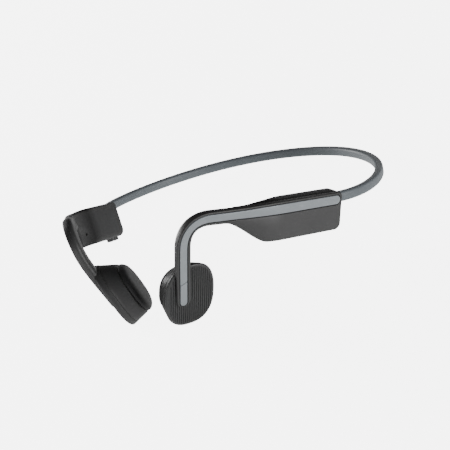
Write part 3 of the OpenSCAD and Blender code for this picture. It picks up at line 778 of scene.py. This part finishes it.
def pod_point(z, inset, angle):
    """A point of the pod's outline at a level, drawn in by inset."""
    w = min(1, max(0, -z / 9.9))
    a = mix(POD_A, 0.955 * POD_A, w) - inset
    up, dn = mix(POD_UP, 0.72 * POD_UP, w) - inset, mix(POD_DOWN, 0.72 * POD_DOWN, w) - inset
    c, s = cos(angle), sin(angle)
    x = -1.3 * w + a * rounded_power(c, POD_ROUND_X)
    return (x, 2.3 * w + (up if s < 0 else dn) * rounded_power(s, POD_ROUND_Y), z)


def pod_solid(levels):
    rings = [[on_pod(pod_point(z, i, 360 * k / POD_STEPS)) for k in range(POD_STEPS)] for z, i in levels]
    return mesh_data(rings)


def face_level(inset):
    """Height of the cap's outer face above its edge, at a distance in from the outline."""
    reach, rise = 2.4, 1.5
    x = min(1, max(0, inset / reach))
    return CAP_FACE - rise + rise * math.sqrt(max(0, 1 - (1 - x) ** 2.2))


def outline_inset(x, y):
    """Roughly how far a point of the pod's face is from the outline."""
    up = POD_UP if y < 0 else POD_DOWN
    r = ((abs(x) / POD_A) ** POD_ROUND_X + (abs(y) / up) ** POD_ROUND_Y) ** (1 / 2.47)
    size = math.hypot(x, y)
    if r < 1e-6:
        return POD_A
    return (1 / r - 1) * size * mix(1, POD_A / up, abs(y) / (abs(y) + abs(x) + 1e-6) * 0.2)


def rib(x, inset):
    """Depth of the ribs' grooves: narrow crests with round valleys, fading out towards the edge."""
    phase = abs((x / RIB_PITCH) % 1 - 0.5) * 2
    return RIB_DEPTH * ease((0.68 - phase) / 0.36) * ease((inset - RIM) / 0.9)


def pod_ribs(side):
    """The ribbed part of the face: columns across the pod, each running from edge to edge."""
    a = POD_A - RIM
    per_rib = 8
    xs = list(np.arange(-a + 0.06, a - 0.05, RIB_PITCH / per_rib))
    xs = [-a, -a + 0.01, -a + 0.03] + xs + [a - 0.03, a - 0.01, a]
    rows = 44
    tops = []
    for x in xs:
        share = max(0.0, 1 - abs(x / a) ** POD_ROUND_X) ** (1 / POD_ROUND_Y)
        y0, y1 = -(POD_UP - RIM) * share, (POD_DOWN - RIM) * share
        col = []
        for k in range(rows + 1):
            t = 0.5 - 0.5 * math.cos(math.pi * k / rows)
            y = mix(y0, y1, mix(k / rows, t, 0.7))
            inset = outline_inset(x, y)
            col.append((x, y, face_level(inset) - rib(x, inset)))
        tops.append(col)
    n = rows + 1
    top = [p for col in tops for p in col]
    points = [on_pod(p) for p in top] + [on_pod((p[0], p[1], RIBS_BACK)) for p in top]
    half = len(top)
    faces = []
    for i in range(len(tops) - 1):
        for k in range(rows):
            q = (i * n + k, (i + 1) * n + k, (i + 1) * n + k + 1, i * n + k + 1)
            faces.append(q)
            faces.append(tuple(half + v for v in reversed(q)))
        for k in (0, rows):
            u, v = i * n + k, (i + 1) * n + k
            faces.append((u, v, v + half, u + half) if k else (v, u, u + half, v + half))
    for i in (0, len(tops) - 1):
        for k in range(rows):
            u, v = i * n + k, i * n + k + 1
            faces.append((v, u, u + half, v + half) if i else (u, v, v + half, u + half))
    o = make(f"{side}_pod_ribs", (points, faces), side == "right", RIB_SHARP)
    o = cut(o, [hook_cutter(side)], RIB_SHARP)
    paint(o, SLOT_OF[f"{side}_pod_cap"])
    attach(o, f"{side}_side")
    return o


def pod_cap(side):
    """The cap's edge, round on its outer side, with the ribbed face let into it."""
    levels = [(CAP_BACK, 0.16), (CAP_BACK + 0.06, 0.05), (CAP_BACK + 0.18, 0), (RIBS_BACK, 0), (-1.2, 0)]
    insets = [RIM * (1 - cos(t)) for t in range(15, 91, 15)]
    levels += [(face_level(i), i) for i in insets]
    levels += [(-1.55, RIM + 0.005)]
    o = make(f"{side}_pod_rim", pod_solid(levels), side == "right", POD_SHARP)
    o = cut(o, [hook_cutter(side)], POD_SHARP)
    finished(o, f"{side}_pod_cap")
    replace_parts(pod_ribs(side), f"{side}_pod_cap")


def hollowed(name, levels, hollow, side):
    """A solid of the pod's outline, through levels of (height, inset), with a hollow cut into it."""
    o = make(name, pod_solid(levels), side == "right", POD_SHARP)
    room = make("cutter", pod_solid(hollow), side == "right")
    return cut(o, [room], POD_SHARP)


def pod_shell(side):
    """The pod's side wall, rounded towards the pad."""
    levels = [(CAP_BACK - 0.04, 0.24), (CAP_BACK - 0.1, 0.09), (CAP_BACK - 0.26, 0)]
    levels += [(z, 0) for z in (-4, -5.5, -7)]
    levels += [(SHELL_BACK + 0.8, 0.02), (SHELL_BACK + 0.45, 0.12), (SHELL_BACK + 0.2, 0.3)]
    levels += [(SHELL_BACK + 0.05, 0.55), (SHELL_BACK, 0.8)]
    hollow = [(CAP_BACK - 1.2, 1.3), (-6, 1.2), (SHELL_BACK - 1, 1.4)]
    return finished(hollowed(f"{side}_pod_wall", levels, hollow, side), f"{side}_pod_shell")


def contact_pad(side):
    """A soft pad with a rounded edge and a face that is flat where it rests on the cheekbone."""
    face = CAP_FACE - POD_T
    levels = [(SHELL_BACK - 0.03, 0.8), (SHELL_BACK - 0.08, 0.5), (SHELL_BACK - 0.24, 0.22)]
    levels += [(-8.8, 0.06), (-9, 0), (-9.5, 0.05), (-9.9, 0.24), (-10.25, 0.6), (-10.5, 1.05)]
    levels += [(-10.7, 1.65), (-10.84, 2.4), (-10.92, 3.0), (face, 4.2)]
    hollow = [(SHELL_BACK + 1, 1.6), (-9.3, 1.6), (-9.5, 2.6)]
    return finished(hollowed(f"{side}_cheek_pad", levels, hollow, side), f"{side}_contact_pad")


# ---------------------------------------------------------------- neckband
BAND_EXIT = HOUSING_CORNER - 2.3 * HOUSING_OUT + 2.3 * HOUSING_DOWN
BAND_BACK = np.array([0, 81.5, 15])
# The stretch of the left half over which the band bends
BAND_STEPS = 110
BAND_HALF = [
    BAND_EXIT,
    BAND_EXIT - 28.4 * forward(BAND_HEADING) + np.array([0, 0, 1.9]),
    BAND_BACK + np.array([52.5, 0, 0]),
    BAND_BACK,
]


def band_at(t):
    """Point and direction at t from the housing to the middle; below 0, mm straight into the housing."""
    d = bezier_dir(BAND_HALF, max(0, t))
    return (BAND_HALF[0] + t * d, d) if t < 0 else (bezier(BAND_HALF, t), d)


def band_ring(t, points):
    at, d = band_at(t)
    out = unit(np.cross(d, [0, -0.18, 0.98]))
    up = np.cross(out, d)
    return [at + x * out + y * up for x, y in points]


def band_outline(grow):
    """The sleeve's section: a flat outer face, softly rounded."""
    w, h, r = BAND_T / 2 + grow, BAND_H / 2 + grow, 1.2 + grow
    return rounded([(w, -h), (w, h), (-w, h), (-w, -h)], [r] * 4, [7] * 4)


def band_rings(grow, t0, t1):
    """A short stretch of the band, in six steps."""
    section = band_outline(grow)
    return [band_ring(mix(t0, t1, k / 6), section) for k in range(7)]


def blended(o, node):
    """One half of a piece of the neckband, painted, its transform baked in, shown in place of its CAD node.
    """
    paint(o, SLOT_OF[node])
    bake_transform(o)
    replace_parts(o, node)
    return o


def neckband(side):
    """Half of the sleeve, its spring wire and its cable."""
    section = band_outline(0)
    rings = []
    for t, size in ((-BAND_TUCK - 0.3, 0.9), (-BAND_TUCK, 1.0)):
        ring = band_ring(t, section)
        rings.append([mix(sum(ring) / len(ring), p, size) for p in ring])
    rings += [band_ring(t, section) for t in (-1.2, -0.4)]
    rings += [band_ring(k / BAND_STEPS, section) for k in range(BAND_STEPS + 1)]
    sleeve = make(f"{side}_sleeve_half", mesh_data(rings), side == "right", BAND_SHARP)
    blended(sleeve, "neckband_sleeve")
    # Height in the band's section, radius, and how far it runs straight into the housing
    for name, node, y, r, tuck in (
        ("wire", "neckband_spring_wire", 0.95, 0.6, 5.5),
        ("lead", "neckband_cable", -0.95, 0.55, 4),
    ):
        circle = around(16, r, lambda x, z: (x, z + y))
        rings = [band_ring(t, circle) for t in (-tuck, -0.01)]
        rings += [band_ring(k / BAND_STEPS, circle) for k in range(1, BAND_STEPS + 1)]
        half = make(f"{side}_{name}_half", mesh_data(rings), side == "right", BAND_SHARP)
        blended(half, node)


# ---------------------------------------------------------------- everything, the floor, lights, camera
def build():
    for side in ("left", "right"):
        ear_hook_frame(side)
        accent_strip(side)
        housing_shell(side)
        pod_cap(side)
        pod_shell(side)
        contact_pad(side)
        neckband(side)
    multifunction_button()
    volume_key("volume_up_key", "plus_key", FRONT_KEY, True)
    volume_key("volume_down_key", "minus_key", REAR_KEY, False)
    port_cover()
    for name, o in frame["nodes"].items():
        paint(o, SLOT_OF[name])


LIT_POINT = (0, 0, 0.02)
FLOOR_STRENGTH, FLOOR_GLOW = 0.65, 5.9
WORLD_STRENGTH, WORLD_GLOW = 0.05, 5.8


def white_to_camera(tree, strength, glow):
    """A strength for the floor or the world: the object gets the weak one, the camera sees the glow."""
    seen = tree.nodes.new("ShaderNodeLightPath")
    level = tree.nodes.new("ShaderNodeMapRange")
    level.inputs["To Min"].default_value = strength
    level.inputs["To Max"].default_value = glow
    tree.links.new(seen.outputs["Is Camera Ray"], level.inputs["Value"])
    return level


def floor():
    b = bmesh.new()
    bmesh.ops.create_grid(b, x_segments=8, y_segments=8, size=6)
    mesh = bpy.data.meshes.new("floor")
    b.to_mesh(mesh)
    b.free()
    o = bpy.data.objects.new("floor", mesh)
    bpy.context.scene.collection.objects.link(o)
    paper = Shade("floor_paper", Emission_Color=(1, 1, 1, 1))
    paper.colour((0.86, 0.86, 0.86), (0.9, 0.9, 0.9), 3).rough(0.6, 0.7, 8).grain(60, 0.02, 0.0005)
    level = white_to_camera(paper.tree, FLOOR_STRENGTH, FLOOR_GLOW)
    paper.link(level, "Result", paper.shader, "Emission Strength")
    o.data.materials.append(paper.mat)
    o.location.z = -0.0002


def area_light(name, azimuth, elevation, distance, size, watts):
    """A round light aimed at the object; azimuth 0 is in front of it and 90 to its left."""
    data = bpy.data.lights.new(name, "AREA")
    data.shape, data.size, data.energy = "DISK", size, watts
    o = bpy.data.objects.new(name, data)
    bpy.context.scene.collection.objects.link(o)
    back = Vector((sin(azimuth) * cos(elevation), -cos(azimuth) * cos(elevation), sin(elevation)))
    o.location = Vector(LIT_POINT) + back * distance
    o.rotation_mode = "QUATERNION"
    o.rotation_quaternion = (-back).to_track_quat("-Z", "Y")
    return o


def lights():
    world = bpy.data.worlds.new("studio")
    bpy.context.scene.world = world
    world.use_nodes = True
    shader = world.node_tree.nodes["Background"]
    shader.inputs["Color"].default_value = (1, 1, 1, 1)
    level = white_to_camera(world.node_tree, WORLD_STRENGTH, WORLD_GLOW)
    world.node_tree.links.new(level.outputs["Result"], shader.inputs["Strength"])
    area_light("key_light", azimuth=84, elevation=4, distance=2.2, size=1.2, watts=44)
    area_light("front_light", azimuth=8, elevation=6, distance=1.4, size=0.5, watts=4)
    area_light("back_light", azimuth=262, elevation=14, distance=1.4, size=0.6, watts=16)


CAMERA_AT = (253.4, -350.07, 206.44)
CAMERA_AZIMUTH, CAMERA_ELEVATION, CAMERA_ROLL = 36.29, 24.87, -19.94
CAMERA_LENS = 86.96


def camera():
    data = bpy.data.cameras.new("camera")
    data.lens = CAMERA_LENS
    data.sensor_width = 36
    data.clip_start, data.clip_end = 0.01, 50
    o = bpy.data.objects.new("camera", data)
    bpy.context.scene.collection.objects.link(o)
    o.location = Vector(CAMERA_AT) * MM
    az, el = CAMERA_AZIMUTH, CAMERA_ELEVATION
    back = Vector((sin(az) * cos(el), -cos(az) * cos(el), sin(el)))
    right = Vector((cos(az), sin(az), 0))
    up = back.cross(right)
    right, up = (
        cos(CAMERA_ROLL) * right + sin(CAMERA_ROLL) * up,
        cos(CAMERA_ROLL) * up - sin(CAMERA_ROLL) * right,
    )
    turn = Matrix((right, up, back)).transposed()
    o.rotation_mode = "QUATERNION"
    o.rotation_quaternion = turn.to_quaternion()
    bpy.context.scene.camera = o


build()
floor()
lights()
camera()
